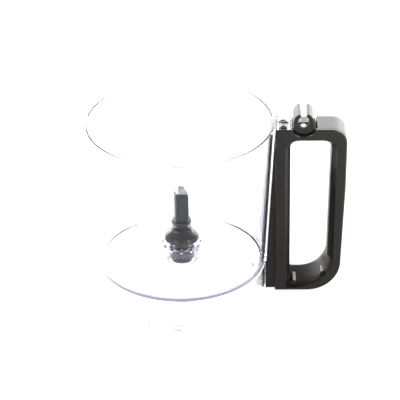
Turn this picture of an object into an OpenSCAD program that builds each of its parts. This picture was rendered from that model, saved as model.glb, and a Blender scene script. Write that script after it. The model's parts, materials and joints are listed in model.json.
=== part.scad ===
// Work bowl of a food processor: a clear bowl on a bayonet foot, a D-shaped
// handle with a cover hinge socket and an interlock rod, and the drive spindle.
// Z is up from the face that the bowl stands on, the bowl axis is X = Y = 0,
// and the handle points along +X.

/* [Bowl] */
// Height of the bowl from its foot to its rim
bowl_h = 176; // [146:1:212]
// Outer radius of the rim
rim_r = 85; // [78:0.5:102]
// Outer radius of the foot skirt
foot_r = 77; // [66:0.5:80]
// Wall thickness of the clear bowl
wall = 2.2; // [1.6:0.01:2.8]
// Height of the inside floor above the foot
floor_z = 34.5; // [32:0.5:42]
// Thickness of the floor
floor_t = 3; // [2:0.1:4]
// Width of the cover lug and of the handle flange
lug_w = 27; // [22:0.5:30]
// How far the cover lug stands out from the rim
lug_reach = 13; // [9:0.5:18]
// Depth of the cover lug, top to bottom
lug_t = 5; // [4:0.5:8]
// Number of bayonet sets inside the foot
bayonet_n = 3; // [2:1:4]
// Width of a bayonet lug
bayonet_w = 9.3; // [6:0.1:14]
// Radial depth of a bayonet lug
bayonet_d = 3; // [2:0.1:4]
// Height of a bayonet lug
bayonet_t = 5; // [3:0.5:8]

/* [Hub] */
// Outer radius of the hub over the coupling
hub_r = 15.2; // [14.2:0.1:17]
// Radius of the room for the coupling under the hub
coupling_room_r = 12.9; // [12.4:0.1:13.2]
// Outer radius of the bearing neck
neck_r = 9.5; // [9.3:0.1:10.3]
// Length of the bearing neck above the coupling room
neck_h = 12.6; // [11:0.1:13.2]
// Outer radius of the castellated collar
collar_r = 18.5; // [17.6:0.1:20]
// Height of the castellated collar
collar_h = 9.5; // [7:0.5:10]
// Number of castellations
collar_n = 12; // [8:1:14]

/* [Handle] */
// Depth of the handle, front to back
handle_d = 30; // [27:0.5:36]
// Thickness of the front cover
cover_t = 4.5; // [3.5:0.1:5.5]
// Gap between the rim and the post's outer face
post_gap = 0.8; // [0.8:0.1:4]
// Width of the post
post_w = 13.6; // [13:0.1:17]
// Width of the finger opening at its top
grip_w = 37.1; // [33:0.5:50]
// Width of the grip limb
limb_w = 14.1; // [12:0.1:18]
// How much the limb leans in from top to bottom
limb_lean = 2.8; // [0:0.1:5]
// Height of the handle's foot above the ground
handle_z = 6; // [5:0.5:9]
// Thickness of the lower bar
bar_t = 11; // [10:0.5:16]
// Thickness of the top bar
top_t = 10.6; // [10:0.1:14]
// How far the handle's top lies below the rim
top_drop = 2; // [1:0.1:4]
// Radius of the outer top corner
top_corner_r = 16; // [12:0.5:18]
// Radius of the big lower curve, outside
low_corner_r = 40; // [32:1:44]
// Radius of the big lower curve, inside
low_inner_r = 25; // [15:1:28]
// Radius of the opening's top corners
open_r = 8.8; // [5:0.1:12]
// Thickness of the clear pad behind the post
pad_t = 1.1; // [0.8:0.1:1.8]
// Thickness of the clear flange over the post
flange_t = 5; // [4:0.1:5.5]
// How far the flange reaches past the post
flange_over = 2; // [1:0.1:2.5]

/* [Hinge socket] */
// Distance from the post's inner face to the socket axis
socket_in = 11.9; // [11.9:0.1:14]
// Height of the socket axis above the handle's top
socket_up = 6.1; // [5.5:0.1:8]
// Outer radius of the socket tube
socket_r = 9.1; // [8.3:0.1:9.6]
// Radius of the socket bore
socket_bore_r = 5.5; // [4.8:0.1:5.8]
// Width of the slot along the top
socket_slot = 5; // [4:0.1:6]
// Length of the socket tube
socket_len = 22.8; // [20:0.1:24]
// Radius of the scallop in the front cover
scallop_r = 12.5; // [11.5:0.1:13.5]

/* [Spindle] */
// Radius of the steel shaft
shaft_r = 4; // [3.3:0.01:4.2]
// Height of the shaft's tip above the floor
tip_up = 76; // [69:0.5:82]
// Width across the flats of the sleeve
sleeve_w = 12.6; // [12:0.1:13.6]
// Height of the sleeve's top above the floor
sleeve_up = 68; // [62:0.5:69]
// Height of the sleeve's foot above the floor
sleeve_foot_up = 37.2; // [36:0.1:40]
// Radius of the sleeve's foot collar
sleeve_collar_r = 9.4; // [8:0.1:11]
// Radius of the seal's bell
bell_r = 16.2; // [15:0.1:17.5]
// Height of the bell's edge above the floor
bell_up = 20.3; // [19.9:0.1:21.5]
// Top radius of the drive coupling
coupling_r = 11.7; // [11:0.1:12]
// Length of the drive coupling
coupling_h = 13.5; // [12.5:0.1:15]
// Radius of the coupling's drive bore
drive_bore_r = 5; // [4.5:0.1:5.5]
// Number of ribs round the coupling
coupling_n = 16; // [10:1:18]

/* [Interlock] */
// Radius of the interlock rod
rod_r = 2.5; // [2:0.1:2.6]
// Radius of the button on top of the rod
button_r = 4.2; // [3.6:0.1:4.2]
// Travel of the rod
travel = 4.5; // [3:0.5:5]
// Radius of the rod's channel in the post
channel_r = 4.3; // [4.2:0.1:4.6]
// Length of the return spring at rest
spring_len = 38; // [28:1:50]

/* [Fits] */
// Radial clearance of the shaft and of the rod in their guides
run_gap = 0.05; // [0.03:0.01:0.1]
// Gap between pieces that seat in one another
seat_gap = 0.02; // [0.01:0.01:0.05]
// Free gap round the button and the coupling
free_gap = 0.4; // [0.35:0.05:0.5]
// Shank radius of the screws
screw_r = 1.75; // [1.5:0.05:1.9]
// Head radius of the screws
head_r = 3.2; // [2.8:0.1:3.4]
// Head height of the screws
head_h = 2; // [1.6:0.1:2.4]

/* [Hidden] */
$fn = 96;
eps = 0.01;

// ---- derived: bowl and hub
room_h = 11.5;                       // from the floor to the coupling room's roof
roof_t = 2;                          // the roof's thickness
lip_t = 1;                           // the lip that the lower bushing stands on
bearing_t = 3;                       // radial room for the bushings and the seal
collar_drop = 1.5;                   // from the shoulder to the collar's middle
bushing_h = 4.8;                     // lower bushing's height
upper_bushing_h = 5;
seal_play = 0.1;                     // room above and below the shaft seal
floor_under = floor_z - floor_t;
room_top = floor_z + room_h;
hub_shoulder = room_top + roof_t;    // where the wide part of the hub ends
neck_top = room_top + neck_h + lip_t;
neck_foot = room_top + lip_t;
neck_bore_r = shaft_r + bearing_t;
lip_r = shaft_r + lip_t;
collar_z = hub_shoulder - collar_drop - collar_h / 2;
tooth = 3;                           // width and depth of a castellation
ledge = 0.8;                         // what stays uncut round the hub
draft = (rim_r - foot_r) / (bowl_h - floor_z);
bayonet_z = 1.5;
rib_w = 2;
bayonet_a = -92.4;                   // azimuth of the first bayonet lug
rib_a = -112;                        // azimuth of the first stop rib
function wall_r(z) = foot_r + draft * (z - floor_z);

// ---- derived: handle
pad_play = 0.1;                      // least room between the pad and the post
post_out = 4.8;                      // least reach of the post past the skirt
pad_from_socket = 11.4;              // where the raised top pad begins
limb_bend = 0.65;                    // height share where the limb's lean changes
foot_lean = 1.45;                    // the limb leans further below the bend
skirt_step = 1.5;
rod_out = 0.4;                       // the rod's place from the post's middle
rod_back = 0.75;
head_stand = 0.4;                    // how far the flange screw's head is sunk
boss_wall = 1.3;
handle_top = bowl_h - top_drop;
step_z = handle_top - flange_t;      // the body's top under the flange and socket
post_x = max(rim_r + post_gap, wall_r(step_z) + pad_t + pad_play, foot_r + post_out);
front_y = -handle_d / 2;
split_y = front_y + cover_t;
back_y = handle_d / 2;
open_x0 = post_x + post_w;
open_x1 = open_x0 + grip_w;
limb_x1 = open_x1 + limb_w;
open_z0 = handle_z + bar_t;
open_z1 = handle_top - top_t;
flange_x = open_x0 + flange_over;
socket_x = open_x0 + socket_in;
pad_x = socket_x + pad_from_socket;
limb_mid_z = handle_z + (handle_top - handle_z) * limb_bend;
pad_half = 9;                        // half width of the clear pad
post_back_half = 10.5;               // half width of the body's inner face
socket_z = handle_top + socket_up;
foot_gap = 0.3;
rod_x = post_x + post_w / 2 + rod_out;
rod_y = (split_y + back_y) / 2 + rod_back;
flange_screw_y = -9.6;
flange_seat_z = handle_top - head_stand;
foot_screw_z = 20;
foot_screw_y = 5.4;
boss_r = 3.2;
boss_len = 14;
// the cover screws' places from the opening's low left, low right and top right
cover_from = [[4, -bar_t / 2], [-6, 4.6], [2, -9.8]];
cover_points = [
    [open_x0 + cover_from[0][0], open_z0 + cover_from[0][1]],
    [open_x1 + cover_from[1][0], open_z0 + cover_from[1][1]],
    [open_x1 + cover_from[2][0], handle_top + cover_from[2][1]],
];
cover_bite = 5;                      // how far the cover screws go into their bosses
cover_sink = 0.5;                    // how deep their heads stand in the back
head_play = 0.1;

socket_screw_y = -4.5;
socket_head_r = 3.9;
insert_r = 2.6;
insert_h = 6.5;
insert_wall = 1.2;
insert_pocket = 9;
insert_sink = 0.5;
screw_end = 0.8;                     // what the socket's screw stays short by
pilot_foot = 0.6;
seat_drop = 0.3;                     // the socket screw's head below the bore
socket_base_gap = 0.7;
socket_fillet = 6;
socket_toe = 2.4;                    // the saddle's toe: its length and its height
socket_toe_h = 2.2;
scallop_gap = 0.1;
cross_share = 0.55;                  // the screws' cross: its reach, width and depth
cross_w = 0.9;
cross_d = 0.9;
// how far the skirt's inside curves away at a foot screw's head
sagitta = pow(foot_screw_y + head_r, 2) / 2 / (foot_r - wall);

// ---- derived: spindle
tip_z = floor_z + tip_up;
tip_gap = 0.5;                       // from the sleeve's top to the tip's foot
tip_foot = floor_z + sleeve_up + tip_gap;
tip_w = 2 * shaft_r + 0.8;           // across the tip's flats
tip_flare = 1.3;                     // the tip's radius beyond the shaft's, at its foot
tip_taper = 0.9;                     // and short of it at its top
corner_share = 1.28;                 // the sleeve's rounded corners
sleeve_turn = 9;
sleeve_collar_h = 3.3;
sleeve_foot = floor_z + sleeve_foot_up;
sleeve_top = floor_z + sleeve_up;
seal_foot = floor_z + bell_up;
washer_room = 0.9;
washer_t = 0.5;
washer_w = 5;
coupling_top = room_top - washer_room;
coupling_foot = coupling_top - coupling_h;
cone = 2.8;                          // how much the coupling narrows to its foot
groove_w = 1.4;
groove_in = 0.6;
groove_cut = 4;
key_w = 2.4;
key_d = 1.2;
pin_drop = 3;
pin_z = coupling_top - pin_drop;
pin_r = 1.5;
pin_short = 1;
drive_bore_top = pin_z - pin_r - 1;
shaft_foot = drive_bore_top + 0.4;   // the shaft ends above the keyed bore
clip_z = neck_top + 0.3;
clip_t = 1;
clip_in = 0.6;                       // depth of the retaining clip's groove
clip_out = 2;
clip_slot = 2.4;

// ---- derived: interlock
button_out = 0.6;                    // the button stands proud of the handle's top
button_h = 5;
button_play = 0.3;
button_grip = 2;                     // how far the rod goes into the button
dimple_r = 1.6;
dimple_d = 0.8;
button_top = handle_top + button_out;
rod_top = button_top - button_h + button_grip;
rod_up = 6;
rod_foot = handle_z + rod_up;
foot_up = 0.5;
foot_tip_z = handle_z + foot_up;
foot_grip = 3;
foot_play = 0.5;
guide_h = 5;
guide_up = 11;
lower_guide_z = handle_z + guide_up;
upper_guide_z = button_top - button_h - travel - guide_h - button_play;
spring_z = lower_guide_z + guide_h;
spring_in = 0.35;                    // the coil's inside and outside from the rod
spring_out = 1.3;
spring_r = rod_r + spring_out;
spring_clip_in = 0.5;
spring_clip_play = 0.4;
spring_clip_slot = 1.8;
clip_top = spring_z + spring_len;

// Points on an arc in the X-Z plane, from angle a to angle b
function arc(x, z, r, a, b, n = 12) =
    [for (i = [0:n]) [x + r * cos(a + (b - a) * i / n), z + r * sin(a + (b - a) * i / n)]];

// Stands an X-Z outline up and gives it depth from y0 to y1
module slab(y0, y1) {
    translate([0, y1, 0])
        rotate([90, 0, 0])
            linear_extrude(height = y1 - y0) children();
}

// A cylinder along Y from y0 to y1
module rod_along_y(x, z, r, y0, y1) {
    translate([x, y1, z])
        rotate([90, 0, 0])
            cylinder(r = r, h = y1 - y0);
}

// A cylinder along X from x0 to x1
module rod_along_x(y, z, r, x0, x1) {
    translate([x0, y, z])
        rotate([0, 90, 0])
            cylinder(r = r, h = x1 - x0);
}

module ring(r_in, r_out, z0, z1) {
    translate([0, 0, z0])
        difference() {
            cylinder(r = r_out, h = z1 - z0);
            translate([0, 0, -1]) cylinder(r = r_in, h = z1 - z0 + 2);
        }
}

// ---- clear bowl
module bowl_turned() {
    rotate_extrude()
        polygon([
            [foot_r - wall, 0], [foot_r, 0], [foot_r, floor_z], [rim_r, bowl_h],
            [rim_r - wall, bowl_h], [foot_r - wall, floor_z],
            [hub_r, floor_z], [hub_r, hub_shoulder], [neck_r, hub_shoulder],
            [neck_r, neck_top], [neck_bore_r, neck_top], [neck_bore_r, neck_foot],
            [lip_r, neck_foot], [lip_r, room_top],
            [coupling_room_r, room_top], [coupling_room_r, floor_under],
            [foot_r - wall, floor_under],
        ]);
}

module bayonet_set(k) {
    turn = 360 / bayonet_n * k;
    reach = foot_r - wall / 2;
    inner = foot_r - wall - bayonet_d;
    rotate([0, 0, bayonet_a + turn])
        translate([inner, -bayonet_w / 2, bayonet_z])
            cube([reach - inner, bayonet_w, bayonet_t]);
    rotate([0, 0, bayonet_a + turn])
        translate([inner, -bayonet_w / 2, bayonet_z])
            cube([reach - inner, rib_w / 2, floor_under - bayonet_z + eps]);
    rotate([0, 0, rib_a + turn])
        translate([inner, -rib_w / 2, 2 * bayonet_z])
            cube([reach - inner, rib_w, floor_under - 2 * bayonet_z + eps]);
}

module cover_lug() {
    inner = rim_r - wall / 2 - lug_w * lug_w / 8 / rim_r;
    lip = 2;
    difference() {
        translate([-rim_r - lug_reach, -lug_w / 2, bowl_h - lug_t])
            cube([rim_r + lug_reach - inner, lug_w, lug_t]);
        translate([-rim_r - lug_reach + lip, -lug_w / 2 + lip, bowl_h - lug_t - 1])
            cube([lug_reach - 2 * lip, lug_w - 2 * lip, lug_t - lip + 1]);
    }
}

// The pad's outline in X-Z: one side in the wall, one side parallel to it
module pad_outline() {
    polygon([
        [foot_r - wall / 2, floor_z], [foot_r + pad_t, floor_z],
        [wall_r(step_z) + pad_t, step_z], [wall_r(step_z) - wall / 2, step_z],
    ]);
}

module top_flange() {
    inner = rim_r - wall / 2 - lug_w * lug_w / 8 / rim_r;
    translate([inner, -lug_w / 2, step_z])
        cube([flange_x - inner, lug_w, flange_t]);
}

// The hollow under the flange's top, round the bosses of the button and screw
module flange_hollow() {
    side = 2;
    difference() {
        translate([post_x + side, -lug_w / 2 + side, step_z - 1])
            cube([flange_x - post_x - 2 * side, lug_w - 2 * side, flange_t - side + 1]);
        translate([rod_x, rod_y, step_z - 2])
            cylinder(r = button_r + free_gap + boss_wall, h = flange_t);
        translate([rod_x, flange_screw_y, step_z - 2])
            cylinder(r = head_r + boss_wall, h = flange_t);
    }
}

module bowl_shell() {
    color([0.86, 0.9, 0.95, 0.35])
        difference() {
            union() {
                bowl_turned();
                for (k = [0:bayonet_n - 1]) bayonet_set(k);
                cover_lug();
                slab(-pad_half, pad_half) pad_outline();
                top_flange();
            }
            flange_hollow();
            translate([rod_x, rod_y, step_z - 1])
                cylinder(r = button_r + free_gap, h = flange_t + 2);
            translate([rod_x, flange_screw_y, step_z - 1])
                cylinder(r = screw_r + run_gap, h = flange_t + 2);
            translate([rod_x, flange_screw_y, flange_seat_z])
                cylinder(r = head_r + run_gap, h = flange_t);
            for (s = [-1, 1])
                rod_along_x(s * foot_screw_y, foot_screw_z, screw_r + run_gap,
                            foot_r - 2 * wall, foot_r + 1);
        }
}

module hub_collar() {
    color([0.82, 0.86, 0.92, 0.5])
        difference() {
            ring(hub_r + seat_gap, collar_r, collar_z, collar_z + collar_h);
            for (k = [0:collar_n - 1])
                rotate([0, 0, 360 / collar_n * k])
                    translate([hub_r + ledge, -tooth / 2, collar_z + collar_h - tooth])
                        cube([collar_r, tooth, tooth + 1]);
        }
}

// ---- handle
module handle_outer(left_x) {
    limb_foot = limb_x1 - limb_lean * foot_lean;
    polygon(concat(
        [[left_x, handle_z]],
        arc(limb_foot - low_corner_r, handle_z + low_corner_r, low_corner_r, -90, 0, 18),
        [[limb_x1 - limb_lean / 3, limb_mid_z]],
        arc(limb_x1 - top_corner_r, handle_top - top_corner_r, top_corner_r, 0, 90),
        [[left_x, handle_top]]
    ));
}

module handle_opening() {
    foot_x = open_x1 - limb_lean;
    low_left_r = 3;
    polygon(concat(
        arc(open_x0 + low_left_r, open_z0 + low_left_r, low_left_r, 180, 270, 6),
        arc(foot_x - low_inner_r, open_z0 + low_inner_r, low_inner_r, -90, -5, 14),
        arc(open_x1 - open_r, open_z1 - open_r, open_r, 0, 90),
        arc(open_x0 + open_r, open_z1 - open_r, open_r, 90, 180)
    ));
}

// The post's inner side: parallel to the bowl above its floor, and close to
// the skirt below it
module post_inner_outline() {
    polygon([
        [foot_r + foot_gap, handle_z], [post_x + 1, handle_z], [post_x + 1, step_z],
        [wall_r(step_z) + pad_t + seat_gap, step_z],
        [foot_r + pad_t + seat_gap, floor_z], [foot_r + foot_gap, floor_z - skirt_step],
    ]);
}

// The round boss round the flange's threaded insert, up to z1
module insert_boss(r, z1) {
    translate([rod_x, flange_screw_y, step_z - insert_pocket])
        cylinder(r = r, h = z1 - step_z + insert_pocket);
}

module handle_body() {
    notch_top = socket_z + 2 * socket_r;
    color([0.11, 0.1, 0.1])
        difference() {
            union() {
                slab(split_y + seat_gap, back_y)
                    difference() {
                        handle_outer(post_x + 1);
                        handle_opening();
                    }
                slab(-post_back_half, post_back_half) post_inner_outline();
                slab(split_y + seat_gap, back_y)
                    polygon([[post_x, handle_z], [post_x + 2, handle_z],
                             [post_x + 2, step_z], [post_x, step_z]]);
                insert_boss(insert_r + insert_wall, step_z);
            }
            // the step for the flange and the hinge socket
            translate([post_x - 10, front_y - 1, step_z])
                cube([pad_x - post_x + 10, handle_d + 2, notch_top - step_z]);
            translate([rod_x, rod_y, handle_z - 1])
                cylinder(r = channel_r, h = handle_top);
            insert_boss(insert_r + seat_gap, step_z + 1);
            for (s = [-1, 1])
                rod_along_x(s * foot_screw_y, foot_screw_z, insert_r + seat_gap,
                            foot_r - 1, foot_r + foot_gap + insert_h + 1);
            translate([socket_x, socket_screw_y, open_z1 + pilot_foot])
                cylinder(r = screw_r + seat_gap, h = top_t);
            for (p = cover_points) {
                rod_along_y(p[0], p[1], boss_r + seat_gap, split_y - 1, split_y + boss_len + seat_gap);
                rod_along_y(p[0], p[1], screw_r + run_gap, split_y, back_y + 1);
                rod_along_y(p[0], p[1], head_r + run_gap, back_y - head_h - cover_sink, back_y + 1);
            }
        }
}

module handle_front_cover() {
    color([0.13, 0.12, 0.12])
        difference() {
            union() {
                slab(front_y, split_y)
                    difference() {
                        handle_outer(post_x);
                        handle_opening();
                        translate([socket_x, socket_z]) circle(r = scallop_r);
                    }
                for (p = cover_points)
                    rod_along_y(p[0], p[1], boss_r, split_y - 1, split_y + boss_len);
            }
            insert_boss(insert_r + insert_wall + seat_gap, step_z + 1);
            // rebate that takes the front edge of the clear flange
            translate([post_x - 1, -lug_w / 2 - seat_gap, step_z - seat_gap])
                cube([flange_x + seat_gap - post_x + 1, handle_d, flange_t + 1]);
            for (p = cover_points)
                rod_along_y(p[0], p[1], screw_r + seat_gap, split_y + 2, back_y);
        }
}

// ---- hinge socket: a slotted tube on a saddle
module socket_outline() {
    tip_r = (socket_r - socket_bore_r) / 2;
    mid_r = (socket_r + socket_bore_r) / 2;
    tip_x = socket_slot / 2 + tip_r;
    tip_up = sqrt(mid_r * mid_r - tip_x * tip_x);
    base_right = pad_from_socket - socket_base_gap;
    base_left = min(base_right, socket_x - flange_x - 2 * seat_gap);
    base_z = step_z - socket_z + seat_gap;
    toe = socket_fillet - socket_toe;
    difference() {
        union() {
            difference() {
                circle(r = socket_r);
                translate([-tip_x, tip_up]) square([2 * tip_x, socket_r]);
            }
            for (s = [-1, 1]) translate([s * tip_x, tip_up]) circle(r = tip_r);
            difference() {
                translate([-base_left, base_z]) square([base_left + base_right, -base_z - 2]);
                for (x = [-base_left - toe, base_right + toe])
                    translate([x, base_z + socket_toe_h + socket_fillet]) circle(r = socket_fillet);
            }
        }
        circle(r = socket_bore_r);
        translate([-socket_slot / 2, 0]) square([socket_slot, socket_r + 1]);
    }
}

// In front of the parting the socket is a disc that fills the cover's scallop
module socket_front() {
    rim = scallop_r - scallop_gap;
    left = socket_x - flange_x - 2 * seat_gap;
    difference() {
        intersection() {
            circle(r = rim);
            translate([-left, -rim]) square([left + rim, rim - socket_up]);
        }
        circle(r = socket_bore_r);
    }
}

module hinge_socket() {
    color([0.1, 0.1, 0.1])
        difference() {
            translate([socket_x, 0, socket_z])
                union() {
                    slab(split_y + seat_gap, socket_len / 2) socket_outline();
                    slab(-socket_len / 2, split_y + 2 * seat_gap)
                        intersection() {
                            socket_outline();
                            circle(r = scallop_r - scallop_gap);
                        }
                    slab(-socket_len / 2, split_y) socket_front();
                }
            translate([socket_x, socket_screw_y, step_z - 1])
                cylinder(r = screw_r + run_gap, h = flange_t);
            translate([socket_x, socket_screw_y, socket_z - socket_bore_r - head_h - seat_drop])
                cylinder(r = socket_head_r + run_gap, h = socket_bore_r);
        }
}

// ---- fasteners
module screw(head, len) {
    translate([0, 0, -len]) cylinder(r = screw_r, h = len + 0.5);
    difference() {
        cylinder(r = head, h = head_h);
        for (a = [0, 90])
            rotate([0, 0, a])
                translate([-head * cross_share, -cross_w / 2, head_h - cross_d])
                    cube([2 * head * cross_share, cross_w, cross_d + 1]);
    }
}

module insert() {
    ring(screw_r + seat_gap, insert_r, 0, insert_h);
}

module hinge_socket_screw() {
    z = socket_z - socket_bore_r - head_h - seat_drop;
    color([0.8, 0.8, 0.78])
        translate([socket_x, socket_screw_y, z])
            screw(socket_head_r, z - open_z1 - screw_end);
}

module flange_screw() {
    color([0.12, 0.12, 0.13])
        translate([rod_x, flange_screw_y, flange_seat_z])
            screw(head_r, flange_seat_z - step_z + insert_h);
}

module flange_insert() {
    color([0.75, 0.6, 0.3])
        translate([rod_x, flange_screw_y, step_z - insert_h - insert_sink]) insert();
}

module foot_screws() {
    head_x = foot_r - wall - head_h - sagitta;
    color([0.7, 0.71, 0.73])
        for (s = [-1, 1])
            translate([head_x + head_h, s * foot_screw_y, foot_screw_z])
                rotate([0, -90, 0])
                    screw(head_r, foot_r + foot_gap + insert_h - head_x - head_h - insert_sink);
}

module foot_inserts() {
    color([0.75, 0.6, 0.3])
        for (s = [-1, 1])
            translate([foot_r + foot_gap + insert_sink, s * foot_screw_y, foot_screw_z])
                rotate([0, 90, 0]) insert();
}

module cover_screws() {
    color([0.2, 0.2, 0.21])
        for (p = cover_points)
            translate([p[0], back_y - head_h - cover_sink + head_play, p[1]])
                rotate([-90, 0, 0])
                    screw(head_r, back_y - head_h - split_y - boss_len + cover_bite);
}

// ---- bearings, fixed in the hub
module lower_bushing() {
    color([0.62, 0.48, 0.3])
        ring(shaft_r + run_gap, neck_bore_r - seat_gap, neck_foot, neck_foot + bushing_h);
}

module shaft_seal() {
    color([0.1, 0.1, 0.1])
        ring(shaft_r + 0.3, neck_bore_r - seat_gap, neck_foot + bushing_h + seal_play,
             neck_top - upper_bushing_h - seal_play);
}

module upper_bushing() {
    color([0.62, 0.48, 0.3])
        ring(shaft_r + run_gap, neck_bore_r - seat_gap, neck_top - upper_bushing_h, neck_top);
}

// ---- spindle
module drive_shaft() {
    color([0.72, 0.73, 0.74])
        difference() {
            union() {
                translate([0, 0, shaft_foot]) cylinder(r = shaft_r, h = tip_foot - shaft_foot);
                intersection() {
                    translate([0, 0, tip_foot])
                        cylinder(r1 = shaft_r + tip_flare, r2 = shaft_r - tip_taper, h = tip_z - tip_foot);
                    translate([-tip_w / 2, -tip_w / 2, tip_foot])
                        cube([tip_w, tip_w, tip_z - tip_foot]);
                }
            }
            rod_along_x(0, pin_z, pin_r, -shaft_r - 1, shaft_r + 1);
            ring(shaft_r - clip_in, shaft_r + 1, clip_z, clip_z + clip_t);
        }
}

module drive_sleeve() {
    corner_r = sleeve_w / 2 * corner_share;
    color([0.13, 0.14, 0.16])
        difference() {
            union() {
                rotate([0, 0, sleeve_turn])
                    translate([0, 0, sleeve_foot])
                        intersection() {
                            translate([-sleeve_w / 2, -sleeve_w / 2, 0])
                                cube([sleeve_w, sleeve_w, sleeve_top - sleeve_foot]);
                            cylinder(r = corner_r, h = sleeve_top - sleeve_foot);
                        }
                translate([0, 0, sleeve_foot])
                    cylinder(r = sleeve_collar_r, h = sleeve_collar_h);
            }
            translate([0, 0, sleeve_foot - 1])
                cylinder(r = shaft_r + seat_gap, h = sleeve_top - sleeve_foot + 2);
        }
}

module spindle_seal() {
    top = sleeve_foot - seat_gap;
    waist_r = shaft_r + 1.3;
    waist_h = 4.6;
    roll_r = 9.3;                    // the small roll between waist and bell
    roll_h = 2.2;
    bell_top_r = 11;
    bell_top = seal_foot + 7;
    bell_mid = [bell_r - 2, seal_foot + 4.6];
    lip = 0.6;                       // the bell's rim is drawn in by this
    hollow_top = clip_z + clip_t + lip;
    hollow_out = 3.3;                // the hollow that clears the neck and the clip
    hollow_in = 1.2;
    hollow_up = 2.5;
    color([0.08, 0.08, 0.08])
        rotate_extrude()
            polygon([
                [shaft_r + seat_gap, top], [waist_r, top], [waist_r, top - waist_h],
                [roll_r, top - waist_h - lip], [roll_r, top - waist_h - lip - roll_h],
                [roll_r - 1, top - waist_h - 2 * lip - roll_h], [bell_top_r, bell_top], bell_mid,
                [bell_r - lip / 2, seal_foot + 4 * lip], [bell_r, seal_foot + 1],
                [bell_r - lip, seal_foot], [bell_r - 2, seal_foot],
                [neck_r + hollow_out, seal_foot + hollow_up], [neck_r + hollow_in, neck_top + lip],
                [shaft_r + hollow_out, hollow_top], [shaft_r + seat_gap, hollow_top],
            ]);
}

module drive_coupling() {
    slope = cone / coupling_h;
    bore_h = drive_bore_top - coupling_foot;
    color([0.35, 0.36, 0.38])
        difference() {
            translate([0, 0, coupling_foot])
                cylinder(r1 = coupling_r - cone, r2 = coupling_r, h = coupling_h);
            for (k = [0:coupling_n - 1])
                rotate([0, 0, 360 / coupling_n * (k + 0.5)])
                    translate([coupling_r - cone - groove_in, 0, coupling_foot - 1])
                        rotate([0, atan(slope), 0])
                            translate([0, -groove_w / 2, 0])
                                cube([groove_cut, groove_w, coupling_h - 1]);
            translate([0, 0, coupling_foot - 1]) cylinder(r = drive_bore_r, h = bore_h + 1);
            translate([-drive_bore_r - key_d, -key_w / 2, coupling_foot - 1])
                cube([2 * (drive_bore_r + key_d), key_w, bore_h + 1]);
            translate([0, 0, shaft_foot - seat_gap])
                cylinder(r = shaft_r + seat_gap, h = coupling_h);
            rod_along_x(0, pin_z, pin_r, -coupling_r - 1, coupling_r + 1);
        }
}

module coupling_pin() {
    color([0.6, 0.61, 0.63])
        rod_along_x(0, pin_z, pin_r - seat_gap, pin_short - coupling_r, coupling_r - pin_short);
}

module thrust_washer() {
    color([0.85, 0.84, 0.8])
        ring(shaft_r + seat_gap, shaft_r + washer_w, coupling_top + seat_gap, coupling_top + washer_t);
}

module retaining_clip() {
    color([0.45, 0.46, 0.48])
        difference() {
            ring(shaft_r - clip_in + seat_gap, shaft_r + clip_out,
                 clip_z + seat_gap, clip_z + clip_t - seat_gap);
            translate([0, -clip_slot / 2, clip_z - 1])
                cube([shaft_r + clip_out + 1, clip_slot, clip_t + 2]);
        }
}

// ---- interlock
module upper_guide() {
    color([0.9, 0.9, 0.87])
        translate([rod_x, rod_y, 0])
            ring(rod_r + run_gap, channel_r - seat_gap, upper_guide_z, upper_guide_z + guide_h);
}

module lower_guide() {
    color([0.9, 0.9, 0.87])
        translate([rod_x, rod_y, 0])
            ring(rod_r + run_gap, channel_r - seat_gap, lower_guide_z, lower_guide_z + guide_h);
}

module interlock_button() {
    color([0.25, 0.26, 0.28])
        translate([rod_x, rod_y, button_top - button_h])
            difference() {
                cylinder(r = button_r - button_play, h = button_h);
                translate([0, 0, -1]) cylinder(r = rod_r + seat_gap, h = button_grip + 1 + seat_gap);
                translate([0, 0, button_h - dimple_d]) cylinder(r = dimple_r, h = dimple_d + 1);
            }
}

module interlock_rod() {
    color([0.75, 0.76, 0.77])
        translate([rod_x, rod_y, 0])
            difference() {
                translate([0, 0, rod_foot]) cylinder(r = rod_r, h = rod_top - rod_foot);
                ring(rod_r - spring_clip_in, rod_r + 1, clip_top, clip_top + clip_t);
            }
}

module interlock_foot() {
    color([0.9, 0.9, 0.87])
        translate([rod_x, rod_y, foot_tip_z])
            difference() {
                cylinder(r = channel_r - foot_play, h = rod_foot - foot_tip_z + foot_grip - travel / 2);
                translate([0, 0, rod_foot - foot_tip_z])
                    cylinder(r = rod_r + seat_gap, h = 2 * foot_grip);
            }
}

module interlock_spring() {
    color([0.6, 0.61, 0.63])
        translate([rod_x, rod_y, 0])
            ring(rod_r + spring_in, spring_r, spring_z + seat_gap, clip_top - seat_gap);
}

module spring_clip() {
    color([0.45, 0.46, 0.48])
        translate([rod_x, rod_y, 0])
            difference() {
                ring(rod_r - spring_clip_in + seat_gap, channel_r - spring_clip_play,
                     clip_top + seat_gap, clip_top + clip_t - seat_gap);
                translate([0, -spring_clip_slot / 2, clip_top - 1])
                    cube([channel_r + 1, spring_clip_slot, clip_t + 2]);
            }
}

bowl_shell();
hub_collar();
handle_body();
handle_front_cover();
hinge_socket();
hinge_socket_screw();
flange_screw();
flange_insert();
foot_screws();
foot_inserts();
cover_screws();
lower_bushing();
shaft_seal();
upper_bushing();
drive_shaft();
drive_sleeve();
spindle_seal();
drive_coupling();
coupling_pin();
thrust_washer();
retaining_clip();
upper_guide();
lower_guide();
interlock_button();
interlock_rod();
interlock_foot();
interlock_spring();
spring_clip();
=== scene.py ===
# Work bowl of a food processor: a clear bowl, a black D-shaped handle with a
# cover socket and an interlock rod, and the drive spindle with its rubber seal.
# Shapes are worked out in millimetres and turned to metres as they are stored.
import json
import math

import bmesh
import bpy
import numpy as np
from mathutils import Matrix, Vector


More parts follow.
